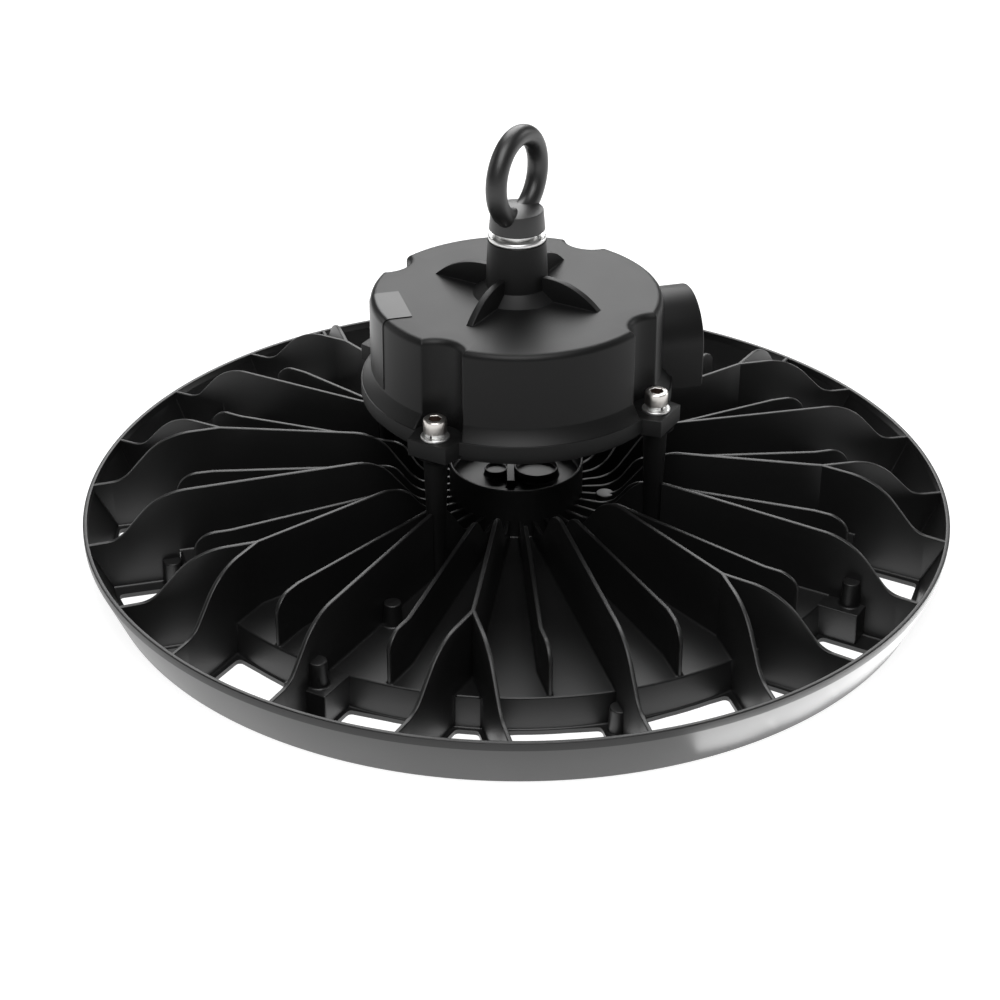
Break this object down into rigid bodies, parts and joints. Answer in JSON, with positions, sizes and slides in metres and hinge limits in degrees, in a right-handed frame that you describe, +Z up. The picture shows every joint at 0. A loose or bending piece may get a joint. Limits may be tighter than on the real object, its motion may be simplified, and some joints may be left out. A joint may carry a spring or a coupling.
{
  "type": "high bay light",
  "caption": "Round high bay light: finned heatsink dish with a lens below, driver housing on four legs and a lifting eye on top.",
  "frame": {"origin": "centre of the bottom edge of the heatsink rim, on the axis of the light", "axes": "+Z up along the axis of the light through the lifting eye, +X out of the side boss that takes the supply cable"},
  "size_m": [0.39, 0.39, 0.1982],
  "materials": {
    "casting": "satin black powder coat",
    "housing": "satin black powder coat",
    "forging": "satin black powder coat",
    "steel": "bright",
    "rubber": "matt",
    "plate": "gloss",
    "driver": "plain",
    "gland": "matt",
    "board": "white",
    "led": "gloss",
    "lens": "clear",
    "ring": "satin black powder coat"
  },
  "bodies": {
    "root": {"heatsink": "casting", "driver_base": "housing", "driver_cover": "housing", "cover_gasket": "rubber", "eye_bolt": "forging", "eye_flat_washer": "steel", "eye_lock_washer": "steel", "eye_nut": "steel", "nameplate": "plate", "driver_module": "driver", "cable_gland": "gland", "vent_plug": "gland", "leg_bolts": "steel", "led_board": "board", "leds": "led", "lens_gasket": "rubber", "lens_cover": "lens", "lens_ring": "ring", "lens_ring_screws": "steel", "flat_washer_1": "steel", "lock_washer_1": "steel", "cap_screw_1": "steel", "flat_washer_2": "steel", "lock_washer_2": "steel", "cap_screw_2": "steel", "flat_washer_3": "steel", "lock_washer_3": "steel", "cap_screw_3": "steel", "flat_washer_4": "steel", "lock_washer_4": "steel", "cap_screw_4": "steel"}
  },
  "joints": []
}
